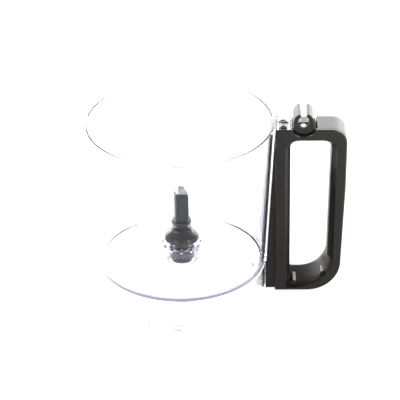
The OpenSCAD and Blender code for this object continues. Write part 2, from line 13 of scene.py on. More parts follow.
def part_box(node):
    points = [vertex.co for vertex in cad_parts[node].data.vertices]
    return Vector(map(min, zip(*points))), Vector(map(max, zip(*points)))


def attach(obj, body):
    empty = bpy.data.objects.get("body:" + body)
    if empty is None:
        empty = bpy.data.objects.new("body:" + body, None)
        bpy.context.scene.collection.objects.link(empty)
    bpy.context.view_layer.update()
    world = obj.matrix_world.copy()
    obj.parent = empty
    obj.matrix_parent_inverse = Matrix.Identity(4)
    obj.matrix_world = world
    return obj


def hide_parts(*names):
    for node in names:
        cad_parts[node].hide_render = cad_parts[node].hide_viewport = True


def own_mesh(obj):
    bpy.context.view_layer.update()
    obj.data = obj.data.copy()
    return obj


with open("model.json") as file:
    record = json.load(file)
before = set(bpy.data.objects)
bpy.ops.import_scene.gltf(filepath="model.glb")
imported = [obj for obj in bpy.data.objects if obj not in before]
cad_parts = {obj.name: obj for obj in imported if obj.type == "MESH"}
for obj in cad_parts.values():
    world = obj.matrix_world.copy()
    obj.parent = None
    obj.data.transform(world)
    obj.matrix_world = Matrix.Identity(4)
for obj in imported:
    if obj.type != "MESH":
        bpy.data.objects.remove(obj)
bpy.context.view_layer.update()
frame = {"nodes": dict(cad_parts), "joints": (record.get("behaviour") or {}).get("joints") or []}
millimetre = 0.001


def boxOf(node):
    # lowest and highest corner of a CAD node, in millimetres
    low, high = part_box(node)
    return np.array(low) / millimetre, np.array(high) / millimetre


class Value:
    # a number socket of a node tree, so that maths on it reads as an expression
    def __init__(self, tree, socket):
        self.tree, self.socket = tree, socket

    def maths(self, operation, *terms, clamp=False):
        node = self.tree.nodes.new("ShaderNodeMath")
        node.operation, node.use_clamp = operation, clamp
        for slotIn, term in zip(node.inputs, terms):
            if isinstance(term, Value):
                self.tree.links.new(term.socket, slotIn)
            else:
                slotIn.default_value = term
        return Value(self.tree, node.outputs[0])

    def __add__(self, other):
        return self.maths("ADD", self, other)

    def __sub__(self, other):
        return self.maths("SUBTRACT", self, other)

    def __mul__(self, other):
        return self.maths("MULTIPLY", self, other)

    def __rsub__(self, other):
        return self.maths("SUBTRACT", other, self)

    __radd__, __rmul__ = __add__, __mul__

    def __truediv__(self, other):
        return self.maths("DIVIDE", self, other)

    def __pow__(self, other):
        return self.maths("POWER", self, other)

    def between(self, low, high):
        # 0 below low, 1 above high, smooth in between
        node = self.tree.nodes.new("ShaderNodeMapRange")
        node.interpolation_type = "SMOOTHSTEP"
        node.inputs["From Min"].default_value = low
        node.inputs["From Max"].default_value = high
        self.tree.links.new(self.socket, node.inputs["Value"])
        return Value(self.tree, node.outputs["Result"])


class Finish:
    # a material, or the world, being put together node by node
    def __init__(self, owner):
        owner.use_nodes = True
        self.owner, self.tree = owner, owner.node_tree
        self.tree.nodes.clear()

    def node(self, kind, settings=None, **sockets):
        # adds a node: its settings first, then values or links by socket name
        node = self.tree.nodes.new(kind)
        for key, value in (settings or {}).items():
            setattr(node, key, value)
        for key, value in sockets.items():
            slotIn = node.inputs[int(key[2:])] if key.startswith("at") else node.inputs[key.replace("_", " ")]
            if isinstance(value, Value):
                self.tree.links.new(value.socket, slotIn)
            elif isinstance(value, bpy.types.NodeSocket):
                self.tree.links.new(value, slotIn)
            else:
                slotIn.default_value = value
        return node

    def place(self, stretch=(1, 1, 1), centre=(0, 0, 0)):
        # object coordinates, stretched and moved
        coordinates = self.node("ShaderNodeTexCoord").outputs["Object"]
        return self.node("ShaderNodeMapping", Vector=coordinates, Scale=stretch, Location=centre).outputs[0]

    def noise(self, scale, detail=3, where=None, rough=0.5):
        node = self.node("ShaderNodeTexNoise", Vector=where or self.place(), Scale=scale, Detail=detail,
                         Roughness=rough)
        return Value(self.tree, node.outputs[0])

    def blendColours(self, share, first, second):
        node = self.node("ShaderNodeMix", {"data_type": "RGBA"}, at0=share, at6=(*first, 1), at7=(*second, 1))
        return node.outputs[2]

    def bump(self, height, distance, strength=1.0):
        return self.node("ShaderNodeBump", Height=height, Distance=distance, Strength=strength).outputs[0]

    def output(self, shader):
        self.node("ShaderNodeOutputMaterial", Surface=shader)
        return self.owner


def newFinish(name):
    return Finish(bpy.data.materials.new(name))


# painted glow: emission at the floor plate and the rim of the clear moulding stands in for light that runs
# inside it and leaves it there; heights in metres
paintedEdgeGlow = {"plateFoot": (0.031, 0.0315), "plateTop": (0.036, 0.037), "rim": (0.1725, 0.174),
             "plateGlowShare": 0.22, "rimGlowShare": 0.45, "tone": (0.3, 0.285, 0.37)}


def clearPlasticFinish(name, tint, ior, waviness):
    # clear moulding: faint flow waves bend what is seen through it, hairline scuffs dull it, and a painted
    # glow (emission) lights bands at the floor plate and the rim
    f = newFinish(name)
    waves = f.noise(26, 2)
    scuffs = f.noise(900, 4, f.place((1, 1, 0.15))).between(0.62, 0.8)
    e = paintedEdgeGlow
    height = Value(f.tree, f.node("ShaderNodeSeparateXYZ", Vector=f.place()).outputs[2])
    # painted glow: the bands at the floor plate's heights and at the rim get the emission colour below
    paintedPlateGlow = height.between(*e["plateFoot"]) * (1 - height.between(*e["plateTop"]))
    share = paintedPlateGlow * e["plateGlowShare"] + height.between(*e["rim"]) * e["rimGlowShare"]
    surface = f.node(
        "ShaderNodeBsdfPrincipled", Base_Color=f.blendColours(waves, tint, (1, 1, 1)),
        Emission_Color=f.blendColours(share, (0, 0, 0), e["tone"]),
        Roughness=0.006 + scuffs * 0.03, IOR=ior, Normal=f.bump(waves, waviness))
    surface.inputs["Emission Strength"].default_value = 1
    surface.inputs["Specular IOR Level"].default_value = 0.25
    surface.inputs["Transmission Weight"].default_value = 1
    return f.output(surface.outputs[0])


def mouldedFinish(name, dark, light, roughness, spread, texture, grain=1600, specular=0.5):
    # opaque moulded plastic: cloudy tone, uneven gloss and a fine spark-eroded texture
    f = newFinish(name)
    clouds = f.noise(45, 3)
    fine = f.noise(grain, 3, rough=0.65)
    wear = f.noise(220, 4).between(0.55, 0.75)
    surface = f.node(
        "ShaderNodeBsdfPrincipled", Base_Color=f.blendColours(clouds, dark, light),
        Roughness=roughness + spread * (clouds - 0.5) + spread * 0.5 * wear,
        Normal=f.bump(fine, texture))
    surface.inputs["Specular IOR Level"].default_value = specular
    return f.output(surface.outputs[0])


def turnedMetalFinish(name, dark, light, roughness, lines=5200, depth=0.00002, metal=1.0):
    # turned or drawn metal: fine rings across the axis, tone and gloss vary slowly
    f = newFinish(name)
    rings = f.noise(1, 3, f.place((240, 240, lines)))
    slow = f.noise(130, 3)
    surface = f.node(
        "ShaderNodeBsdfPrincipled", Base_Color=f.blendColours(slow, dark, light), Metallic=metal,
        Roughness=roughness + 0.16 * (rings - 0.5) + 0.1 * slow, Normal=f.bump(rings, depth))
    return f.output(surface.outputs[0])


def rubberFinish(name, dark, light, roughness):
    # soft black rubber with a bloom that lightens it in patches
    f = newFinish(name)
    bloom = f.noise(90, 4).between(0.4, 0.75)
    fine = f.noise(2600, 2)
    surface = f.node(
        "ShaderNodeBsdfPrincipled", Base_Color=f.blendColours(bloom, dark, light),
        Roughness=roughness + 0.12 * bloom, Normal=f.bump(fine, 0.00003))
    return f.output(surface.outputs[0])


finishes = {
    "clear": clearPlasticFinish("clear_polycarbonate", (0.94, 0.93, 0.98), 1.33, 0.00008),
    "collar": clearPlasticFinish("clear_collar_plastic", (0.82, 0.83, 0.86), 1.6, 0.0012),
    "black": mouldedFinish("black_abs", (0.008, 0.0065, 0.006), (0.014, 0.0115, 0.0105), 0.3, 0.08, 0.00002,
                           specular=0.35),
    "sleeve": mouldedFinish("blue_black_nylon", (0.008, 0.009, 0.013), (0.02, 0.022, 0.03), 0.2, 0.08,
                            0.00003),
    "grey": mouldedFinish("dark_acetal", (0.012, 0.013, 0.016), (0.03, 0.032, 0.038), 0.3, 0.1, 0.00002),
    "white": mouldedFinish("white_acetal", (0.74, 0.73, 0.69), (0.82, 0.81, 0.77), 0.38, 0.1, 0.00002),
    "rubber": rubberFinish("seal_rubber", (0.007, 0.007, 0.008), (0.018, 0.018, 0.02), 0.2),
    "steel": turnedMetalFinish("stainless_steel", (0.26, 0.26, 0.27), (0.38, 0.38, 0.38), 0.2),
    "spring": turnedMetalFinish("spring_steel", (0.34, 0.34, 0.36), (0.5, 0.5, 0.52), 0.28),
    "zinc": turnedMetalFinish("zinc_plate", (0.66, 0.66, 0.64), (0.82, 0.82, 0.8), 0.3, 2600),
    "blackZinc": turnedMetalFinish("black_zinc_plate", (0.03, 0.03, 0.032), (0.06, 0.06, 0.065), 0.36, 2600),
    "brass": turnedMetalFinish("insert_brass", (0.62, 0.44, 0.16), (0.8, 0.6, 0.28), 0.26),
    "bronze": turnedMetalFinish("bearing_bronze", (0.13, 0.09, 0.055), (0.2, 0.14, 0.085), 0.45),
}
print("finishes:", len(finishes))


def arcPoints(centre, radius, start, end, count):
    # points at even angles on a circle from start to end, in degrees
    angles = np.radians(np.linspace(start, end, count))
    return np.array(centre) + radius * np.column_stack([np.cos(angles), np.sin(angles)])


def offsetCorners(corners, inset):
    # each side of a counterclockwise polygon moves in by inset; a corner's radius
    # shrinks by it where the outline is convex and grows where it is hollow
    c = np.asarray(corners, float)
    ahead = np.roll(c[:, :2], -1, 0) - c[:, :2]
    ahead /= np.linalg.norm(ahead, axis=1)[:, None]
    behind = np.roll(ahead, 1, 0)
    normalA, normalB = (np.column_stack([-d[:, 1], d[:, 0]]) for d in (behind, ahead))
    moved = c[:, :2] + inset * (normalA + normalB) / (1 + (normalA * normalB).sum(1))[:, None]
    turn = behind[:, 0] * ahead[:, 1] - behind[:, 1] * ahead[:, 0]
    radius = np.where(c[:, 2] > 0, np.maximum(c[:, 2] - np.sign(turn) * inset, 0.02), 0)
    return np.column_stack([moved, radius])


def roundCorners(corners, steps=6):
    # each corner (x, y, radius) becomes an arc that is tangent to both its sides
    c = np.asarray(corners, float)
    before = np.roll(c[:, :2], 1, 0) - c[:, :2]
    after = np.roll(c[:, :2], -1, 0) - c[:, :2]
    lengthA, lengthB = np.linalg.norm(before, axis=1), np.linalg.norm(after, axis=1)
    before, after = before / lengthA[:, None], after / lengthB[:, None]
    half = 0.5 * np.arccos(np.clip((before * after).sum(1), -1, 1))
    reach = np.minimum(c[:, 2] / np.tan(half), 0.49 * np.minimum(lengthA, lengthB))
    t = np.linspace(0, 1, steps)[None, :, None]
    start, end = (c[:, None, :2] + reach[:, None, None] * d[:, None] for d in (before, after))
    # a quadratic of the corner weighted as a circle's arc
    weight = np.sin(half)[:, None, None]
    top = (1 - t) ** 2 * start + 2 * t * (1 - t) * weight * c[:, None, :2] + t**2 * end
    return (top / ((1 - t) ** 2 + 2 * t * (1 - t) * weight + t**2)).reshape(-1, 2)


def gridFaces(rows, columns, closedRows, closedColumns):
    # four-sided faces of a grid whose point (i, j) is number i * columns + j
    i = np.arange(rows if closedRows else rows - 1)[:, None]
    j = np.arange(columns if closedColumns else columns - 1)[None, :]
    nextI, nextJ = (i + 1) % rows, (j + 1) % columns
    faces = np.stack([i * columns + j, i * columns + nextJ, nextI * columns + nextJ, nextI * columns + j], -1)
    return faces.reshape(-1, 4)


def meshOf(name, grids):
    # one object from grids (points of rows x columns x 3, closedRows, capped), columns always closed
    points, faces = [], []
    for grid, closedRows, capped in grids:
        first = sum(len(p) for p in points)
        rows, columns = grid.shape[:2]
        faces += (gridFaces(rows, columns, closedRows, True) + first).tolist()
        if capped:
            ring = np.arange(columns)
            faces += [(first + ring[::-1]).tolist(), (first + (rows - 1) * columns + ring).tolist()]
        points.append(grid.reshape(-1, 3))
    mesh = bpy.data.meshes.new(name)
    mesh.from_pydata((np.concatenate(points) * millimetre).tolist(), [], faces)
    piece = bpy.data.objects.new(name, mesh)
    bpy.context.scene.collection.objects.link(piece)
    tidyMesh(piece)
    return piece


def tidyMesh(piece):
    # poles and seams are closed, and every face points outwards
    work = bmesh.new()
    work.from_mesh(piece.data)
    bmesh.ops.remove_doubles(work, verts=work.verts, dist=1e-7)
    bmesh.ops.recalc_face_normals(work, faces=work.faces)
    work.to_mesh(piece.data)
    work.free()


def joinFlats(piece):
    # faces that lie in one plane become one face, so that they shade evenly
    work = bmesh.new()
    work.from_mesh(piece.data)
    bmesh.ops.dissolve_limit(work, angle_limit=math.radians(0.2), verts=work.verts, edges=work.edges)
    work.to_mesh(piece.data)
    work.free()


def applied(piece):
    # the piece's modifiers are worked into its mesh
    graph = bpy.context.evaluated_depsgraph_get()
    mesh = bpy.data.meshes.new_from_object(piece.evaluated_get(graph))
    piece.modifiers.clear()
    piece.data = mesh


def carve(piece, others, operation="DIFFERENCE"):
    # adds the other solids to a piece, or takes them out of it
    for other in others:
        step = piece.modifiers.new("carve", "BOOLEAN")
        step.operation, step.solver, step.object = operation, "EXACT", other
        applied(piece)
        bpy.data.objects.remove(other)


def show(piece, body, finish, nodes, sharp=34):
    # gives a piece its finish, its shading and its place in the frame
    piece.data.materials.clear()
    piece.data.materials.append(finishes[finish])
    piece.data.shade_smooth()
    piece.data.set_sharp_from_angle(angle=math.radians(sharp))
    # large faces lead the shading, so that fillets don't bend the flats beside them
    piece.modifiers.new("even shading", "WEIGHTED_NORMAL").keep_sharp = True
    applied(piece)
    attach(piece, body)
    if nodes:
        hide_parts(*nodes)
    return piece


def turned(profile, segments=96, centre=(0, 0)):
    # a closed outline (radius, height) carried round the vertical line through centre
    angle = np.linspace(0, 2 * np.pi, segments, endpoint=False)
    r, z = profile[:, :1], profile[:, 1:2]
    grid = np.stack([centre[0] + r * np.cos(angle), centre[1] + r * np.sin(angle), z + 0 * angle], -1)
    return grid


def prism(outlineAt, low, high, edge, axes=(0, 1, 2), steps=4):
    # an outline carried from low to high, drawn in along a quarter circle at both ends
    t = np.linspace(0, np.pi / 2, steps + 1)
    insets = np.concatenate([edge * (1 - np.sin(t)), edge * (1 - np.sin(t))[::-1]])
    heights = np.concatenate([low + edge * (1 - np.cos(t)), high - edge * (1 - np.cos(t))[::-1]])
    rows = np.stack([outlineAt(inset) for inset in insets])
    grid = np.empty((*rows.shape[:2], 3))
    grid[..., axes[0]], grid[..., axes[1]], grid[..., axes[2]] = rows[..., 0], rows[..., 1], heights[:, None]
    return grid


def cornered(corners, steps=6):
    return lambda inset: roundCorners(offsetCorners(corners, inset), steps)


def bar(low, high, radius, edge):
    # a box with rounded upright corners and rounded ends
    corners = [(low[0], low[1], radius), (high[0], low[1], radius), (high[0], high[1], radius),
               (low[0], high[1], radius)]
    return prism(cornered(corners), low[2], high[2], edge)


def rod(centre, radius, low, high, axis=2, segments=40):
    # a plain round bar along one axis, used for holes
    angle = np.linspace(0, 2 * np.pi, segments, endpoint=False)
    others = [k for k in range(3) if k != axis]
    grid = np.empty((2, segments, 3))
    grid[..., others[0]] = centre[0] + radius * np.cos(angle)
    grid[..., others[1]] = centre[1] + radius * np.sin(angle)
    grid[..., axis] = np.array([low, high])[:, None]
    return grid


def rodPiece(*args, **options):
    return meshOf("cutter", [(rod(*args, **options), False, True)])


def smooth(x, low, high):
    # 0 below low, 1 above high, smooth in between
    t = np.clip((x - low) / (high - low), 0, 1)
    return t * t * (3 - 2 * t)


camera = {
    "place": (55.84, -1834.45, 1161.73),
    "right": (0.99982, 0.01326, -0.01320),
    "up": (0.00474, 0.50296, 0.86430),
    "lens": 208.9,
}


def makeCamera():
    right, up = np.array(camera["right"]), np.array(camera["up"])
    right /= np.linalg.norm(right)
    up -= right * (up @ right)
    up /= np.linalg.norm(up)
    back = np.cross(right, up)
    data = bpy.data.cameras.new("camera")
    data.lens, data.sensor_width = camera["lens"], 36
    data.clip_start, data.clip_end = 0.1, 100
    seen = bpy.data.objects.new("camera", data)
    bpy.context.scene.collection.objects.link(seen)
    matrix = Matrix(np.column_stack([right, up, back]).tolist()).to_4x4()
    matrix.translation = np.array(camera["place"]) * millimetre
    seen.matrix_world = matrix
    bpy.context.scene.camera = seen


makeCamera()

bowlLow, bowlHigh = boxOf("bowl_shell")
coverLow, coverHigh = boxOf("handle_front_cover")
postX = coverLow[0]
bowl = {
    "rimRadius": bowlHigh[1],
    "rimHeight": bowlHigh[2],
    "footRadius": 77.0,
    "wall": 2.2,
    "floorTop": 34.5,
    "floorUnder": 31.5,
    "hubRadius": 15.2,
    "hubShoulder": 48.0,
    "neckRadius": 9.5,
    "neckTop": 59.6,
    "boreRadius": 7.0,
    "boreFoot": 47.0,
    "lipRadius": 5.0,
    "roomRadius": 12.9,
    "roomTop": 46.0,
    "flangeWall": 2.0,
    "buttonBoss": 5.9,
    "buttonHole": 4.6,
    "screwBoss": 4.2,
    "segments": 288,
    "lugHalf": 13.5,
    "lugDepth": 5.0,
    "lugLip": 2.0,
    "flangeFoot": 169.0,
    "flangeTop": 174.0,
    "padHalf": 9.0,
    "padThick": 1.1,
    "bayonetWidth": 9.3,
    "bayonetReach": 3.0,
    "bayonetFoot": 1.5,
    "bayonetHeight": 5.0,
    "bayonetTurn": -92.4,
    "ribTurn": -112.0,
    "ribWidth": 2.0,
}


def wallRadius(z):
    # outer radius of the tapered wall at a height
    b = bowl
    return (b["footRadius"]
            + (b["rimRadius"] - b["footRadius"]) * (z - b["floorTop"]) / (b["rimHeight"] - b["floorTop"]))


def bowlTurned():
    b = bowl
    foot, inner = b["footRadius"], b["footRadius"] - b["wall"]
    corners = [
        (inner, 0, 0.9), (foot, 0, 0.9), (foot, b["floorTop"], 60),
        (b["rimRadius"], b["rimHeight"], 0.9), (b["rimRadius"] - b["wall"], b["rimHeight"], 0.9),
        (inner, b["floorTop"], 4.0), (b["hubRadius"], b["floorTop"], 2.0),
        (b["hubRadius"], b["hubShoulder"], 1.2), (b["neckRadius"], b["hubShoulder"], 1.0),
        (b["neckRadius"], b["neckTop"], 1.0), (b["boreRadius"], b["neckTop"], 0.4),
        (b["boreRadius"], b["boreFoot"], 0.1), (b["lipRadius"], b["boreFoot"], 0.2),
        (b["lipRadius"], b["roomTop"], 0.3), (b["roomRadius"], b["roomTop"], 1.0),
        (b["roomRadius"], b["floorUnder"], 0.6), (inner, b["floorUnder"], 2.0),
    ]
    return turned(roundCorners(corners, 7), b["segments"])


def spun(grid, degrees):
    # a grid turned about the vertical axis
    c, s = math.cos(math.radians(degrees)), math.sin(math.radians(degrees))
    return grid @ np.array([[c, s, 0], [-s, c, 0], [0, 0, 1]])


def bayonetGrids():
    # three times: a lug low inside the skirt, its thin stay, and a stop rib
    b, grids = bowl, []
    inner, outer = b["footRadius"] - b["wall"] - b["bayonetReach"], b["footRadius"] - b["wall"] / 2
    half, foot, roof = b["bayonetWidth"] / 2, b["bayonetFoot"], b["floorUnder"] + 0.5
    lug = bar((inner, -half, foot), (outer, half, foot + b["bayonetHeight"]), 0.7, 0.7)
    stay = bar((inner, -half, foot + 1), (outer, -half + 1.0, roof), 0.35, 0.3)
    rib = bar((inner, -b["ribWidth"] / 2, 2 * foot), (outer, b["ribWidth"] / 2, roof), 0.6, 0.5)
    for k in range(3):
        grids += [spun(lug, b["bayonetTurn"] + 120 * k), spun(stay, b["bayonetTurn"] + 120 * k)]
        grids += [spun(rib, b["ribTurn"] + 120 * k)]
    return grids


def solid(grid, closedRows=False):
    return meshOf("part", [(grid, closedRows, not closedRows)])


rodX, rodY, screwY = postX + 7.2, 3.0, -9.6
flangeEnd = bowlHigh[0]

# screws and their holes: places of the foot and socket screws, radii, head height
screws = {"footY": 5.4, "footZ": 20, "socketY": -4.5, "clear": 1.8, "tapped": 1.77, "insert": 2.62,
          "headRoom": 3.25, "pan": (3.2, 2.0, 1.75), "dome": (3.9, 2.0, 1.75)}


def makeBowl():
    b = bowl
    shell = meshOf("clear_bowl", [(bowlTurned(), True, False)])
    root = b["rimRadius"] - b["wall"] / 2 - b["lugHalf"] ** 2 / 2 / b["rimRadius"]
    lug = bar((bowlLow[0], -b["lugHalf"], b["rimHeight"] - b["lugDepth"]),
              (-root, b["lugHalf"], b["rimHeight"]), 2.2, 0.9)
    flange = bar((root, -b["lugHalf"], b["flangeFoot"]), (flangeEnd, b["lugHalf"], b["flangeTop"]), 1.6, 0.8)
    thick = b["padThick"]
    padCorners = [
        (b["footRadius"] - b["wall"] / 2, b["floorTop"], 0.3), (b["footRadius"] + thick, b["floorTop"], 0.6),
        (wallRadius(b["flangeFoot"]) + thick, b["flangeFoot"] + 1, 0.3),
        (wallRadius(b["flangeFoot"]) - b["wall"] / 2, b["flangeFoot"] + 1, 0.3),
    ]
    pad = prism(cornered(padCorners), -b["padHalf"], b["padHalf"], 0.3, (0, 2, 1))
    carve(shell, [solid(g) for g in [lug, flange, pad] + bayonetGrids()], "UNION")
    lip = b["lugLip"]
    pocket = bar(
        (bowlLow[0] + lip, -b["lugHalf"] + lip, b["rimHeight"] - b["lugDepth"] - 3),
        (-b["rimRadius"] - lip, b["lugHalf"] - lip, b["rimHeight"] - lip), 1.2, 0.5)
    side = b["flangeWall"]
    hollow = bar((postX + side, side - b["lugHalf"], b["flangeFoot"] - 2),
                 (flangeEnd - side, b["lugHalf"] - side, b["flangeTop"] - side), 1.4, 0.5)
    carve(shell, [solid(pocket), solid(hollow)])
    carve(shell, [rodPiece((rodX, rodY), b["buttonBoss"], b["flangeFoot"], b["flangeTop"] - 1, segments=64),
                  rodPiece((rodX, screwY + 0.3), b["screwBoss"] - 0.3, b["flangeFoot"], b["flangeTop"] - 1,
                           segments=48)], "UNION")
    holes = [
        rodPiece((rodX, rodY), b["buttonHole"], b["flangeFoot"] - 1, b["flangeTop"] + 1, segments=64),
        rodPiece((rodX, screwY), screws["clear"], b["flangeFoot"] - 1, b["flangeTop"] + 1),
        rodPiece((rodX, screwY), screws["headRoom"], b["flangeTop"] - 0.4, b["flangeTop"] + 1),
    ]
    holes += [rodPiece((y, screws["footZ"]), screws["clear"], b["footRadius"] - 5, b["footRadius"] + 1,
                       axis=0) for y in (screws["footY"], -screws["footY"])]
    carve(shell, holes)
    show(shell, "bowl", "clear", ["bowl_shell"])
    return shell


makeBowl()
print("clear bowl done")

collar = {"low": boxOf("hub_collar")[0][2], "high": boxOf("hub_collar")[1][2], "outer": 18.5, "inner": 15.22,
          "teeth": 12, "notchDepth": 3.0, "notchHalf": 1.5, "ledge": 16.0}


def makeCollar():
    # a rounded ring whose top drops by notchDepth, beyond the ledge, at twelve notches
    c = collar
    corners = [(c["inner"], c["low"], 0.2), (c["outer"], c["low"], 0.9), (c["outer"], c["high"], 0.7),
               (c["ledge"] + 0.04, c["high"], 0.01), (c["ledge"], c["high"], 0.01),
               (c["inner"], c["high"], 0.2)]
    profile = roundCorners(corners, 6)
    angle = np.linspace(0, 2 * np.pi, c["teeth"] * 28, endpoint=False)
    pitch = 2 * np.pi / c["teeth"]
    away = np.abs((angle + pitch / 2) % pitch - pitch / 2) * c["outer"]
    notch = 1 - smooth(away, c["notchHalf"] - 0.25, c["notchHalf"] + 0.2)
    r, z = profile[:, :1], profile[:, 1:2]
    share = np.clip((z - c["low"]) / (c["high"] - c["low"]), 0, 1) * (r > c["ledge"] + 0.02)
    z = z - c["notchDepth"] * notch * share
    grid = np.stack([r * np.cos(angle), r * np.sin(angle), z], -1)
    show(meshOf("castellated_collar", [(grid, True, False)]), "bowl", "collar",
         ["hub_collar"])


makeCollar()
print("collar done")

bodyHigh = boxOf("handle_body")[1]
handle = {
    "left": postX,
    "right": coverHigh[0],
    "foot": coverLow[2],
    "top": coverHigh[2],
    "front": coverLow[1],
    "back": bodyHigh[1],
    "split": -10.5,
    "postWidth": 13.6,
    "limbWidth": 14.1,
    "lean": 2.8,
    "barThick": 11.0,
    "topThick": 10.6,
    "step": 169.0,
    "padStart": 23.3,          # from the post's inner side to the raised pad
    "flangeReach": 2.0,
    "socketIn": 11.9,
    "socketUp": 6.1,
    "scallop": 12.5,
    "outerFillet": 1.5,
    "backFillet": 3.4,
    "shoulder": (4.2, 5.6, 8.6, 0.7),   # width on the left, right, bottom and top
    "shoulderDepth": (4.2, 5.0, 29.0, 0.7),
    "shoulderRound": (1.5, 1.6, 2.2, 2.0),
    "shoulderFlat": 0.85,               # share of a plain chamfer in the slope
    "groove": 0.22,
    "skin": 1.48,
}
innerX0 = handle["left"] + handle["postWidth"]
innerX1 = handle["right"] - handle["limbWidth"]
innerZ0, innerZ1 = handle["foot"] + handle["barThick"], handle["top"] - handle["topThick"]
padX = innerX0 + handle["padStart"]
flangeX = innerX0 + handle["flangeReach"]
socketX, socketZ = innerX0 + handle["socketIn"], handle["top"] + handle["socketUp"]
handleCentre = np.array([innerX0 + 24.6, (innerZ0 + innerZ1) / 2])

# the finger opening's corners run low right, high right, high left, low left
openingTurns = [np.linspace(-90, -3, 30), np.linspace(0, 90, 14), np.linspace(90, 180, 14),
                np.linspace(180, 270, 12)]


def openingOutline(radii, grow=(0, 0, 0, 0)):
    # the finger opening, its sides moved out by grow: left, right, bottom, top
    left, right, bottom, top = grow
    a, b, c, d = radii
    foot = innerX1 - handle["lean"]
    centres = [(foot + right - a, innerZ0 - bottom + a), (innerX1 + right - b, innerZ1 + top - b),
               (innerX0 - left + c, innerZ1 + top - c), (innerX0 - left + d, innerZ0 - bottom + d)]
    return np.concatenate([arcPoints(place, radius, turns[0], turns[-1], len(turns))
                           for place, radius, turns in zip(centres, radii, openingTurns)])


def outerOutline(kind, inset):
    # the handle's outer side, and over it the scallop for the socket or the step
    h = handle
    footX = h["right"] - h["lean"] * 1.45 - 1.8
    base = [(h["left"], h["foot"], 1.4), (footX, h["foot"], 40),
            (h["right"] - 0.93, h["foot"] + (h["top"] - h["foot"]) * 0.65, 120), (h["right"], h["top"], 16)]
    if kind == "body":
        over = [(padX, h["top"], 1.4), (padX, h["step"], 0.5), (h["left"], h["step"], 0.5)]
        return roundCorners(offsetCorners(base + over, inset), 22)
    rim = np.linspace(0, 1, 25)
    half = math.acos(h["socketUp"] / h["scallop"])
    cup = np.column_stack([socketX + h["scallop"] * np.sin(half * (1 - 2 * rim)),
                           socketZ - h["scallop"] * np.cos(half * (1 - 2 * rim)), 0 * rim])
    if kind == "front":
        cup[[0, -1], 2] = 0.5
        over = cup.tolist() + [(h["left"], h["top"], 1.2)]
    else:
        kept = cup[cup[:, 0] > flangeX + 0.2]
        over = kept.tolist() + [(flangeX, h["step"], 0.2), (h["left"], h["step"], 0.3)]
    return roundCorners(offsetCorners(base + over, inset), 12)


def crossing(outline, angles):
    # where the ray at each angle from the handle's centre crosses a closed outline:
    # the side's number and how far along it
    rel = outline - handleCentre
    phi = np.unwrap(np.arctan2(rel[:, 1], rel[:, 0]))
    rel, phi = np.vstack([rel, rel[:1]]), np.append(phi, phi[0] + 2 * np.pi)
    at = phi[0] + (angles - phi[0]) % (2 * np.pi)
    k = np.clip(np.searchsorted(phi, at, side="right") - 1, 0, len(phi) - 2)
    p, q = rel[k], rel[k + 1] - rel[k]
    u = np.column_stack([np.cos(at), np.sin(at)])
    share = (p[:, 1] * u[:, 0] - p[:, 0] * u[:, 1]) / (q[:, 0] * u[:, 1] - q[:, 1] * u[:, 0])
    return k, np.clip(share, 0, 1)[:, None]


def along(outline, k, share):
    looped = np.vstack([outline, outline[:1]])
    return looped[k] + share * (looped[k + 1] - looped[k])


def onRays(outline, angles):
    return along(outline, *crossing(outline, angles))


def rayAngles(*outlines):
    # the angles of every outline's corner points, and even ones in between
    found = [np.arctan2(*(o - handleCentre).T[::-1]) % (2 * np.pi) for o in outlines]
    every = np.sort(np.concatenate(found + [np.linspace(0, 2 * np.pi, 180, endpoint=False)]))
    return every[np.append(True, np.diff(every) > 2e-4)]


def ringRow(points, depth):
    return np.column_stack([points[:, 0], np.broadcast_to(depth, len(points)), points[:, 1]])


plainOutline = openingOutline((25, 8.8, 8.8, 3))
creaseOutline = openingOutline((36, 9.6, 9.6, 1.6), handle["shoulder"])


class InnerSide:
    # the inner side of the D: a rounded slope from the crease on the front to the
    # opening's own side, wide and deep on the low bar, narrow elsewhere
    def __init__(self, angles):
        k, share = crossing(creaseOutline, angles)
        self.crease, self.plain = along(creaseOutline, k, share), along(plainOutline, k, share)
        # each side counts by the square of how squarely the outline faces it
        facing = np.radians(np.concatenate(openingTurns))
        sides = np.stack([np.maximum(side, 0) ** 2
                          for side in (-np.cos(facing), np.cos(facing), -np.sin(facing), np.sin(facing))], 1)
        # the low side counts most of the way round its corners
        bottom = sides[:, 2:3] ** 0.3
        sides *= (1 - bottom) / np.maximum(1 - sides[:, 2:3], 1e-9)
        sides[:, 2:3] = bottom
        shape = sides @ np.column_stack([handle["shoulderDepth"], handle["shoulderRound"]])
        self.depth, self.round = along(shape, k, share).T

    def row(self, y, inset=0.0):
        # width share g at depth share u: a plain chamfer 1 - u mixed with the
        # superellipse (1 - g)^p + (1 - u)^p = 1
        u, flat = np.clip((y - handle["front"]) / self.depth, 0, 1), handle["shoulderFlat"]
        g = flat * (1 - u) + (1 - flat) * (1 - (1 - (1 - u) ** self.round) ** (1 / self.round))
        away = self.crease - self.plain
        points = self.plain + g[:, None] * away + inset * away / np.linalg.norm(away, axis=1)[:, None]
        return ringRow(points, y)


def coverGrid():
    # across the ring: parting chamfer, outer side, fillet, front face, slope inwards
    h = handle
    front, split, groove = h["front"], h["split"], h["groove"]
    angles = rayAngles(creaseOutline, outerOutline("front", 0), outerOutline("skin", 0))
    inner = InnerSide(angles)
    t = np.linspace(0, np.pi / 2, 7)
    outer = {k: [onRays(outerOutline(k, i), angles) for i in (0, groove)] for k in ("skin", "front")}
    rows = [ringRow(outer["skin"][1], split), ringRow(outer["skin"][0], split - groove),
            ringRow(outer["skin"][0], front + h["skin"]),
            ringRow(outer["front"][0], front + h["skin"] - 0.02)]
    edge = min(h["outerFillet"], h["skin"] - 0.05)
    rows += [ringRow(onRays(outerOutline("front", edge * (1 - math.cos(a))), angles),
                     front + edge * (1 - math.sin(a))) for a in t]
    deep = np.minimum(inner.depth, split - groove - 0.05 - front)
    rows += [inner.row(front + share**2 * deep) for share in np.linspace(0, 1, 12)]
    rows += [inner.row(split - groove), inner.row(split, groove)]
    return np.stack(rows)


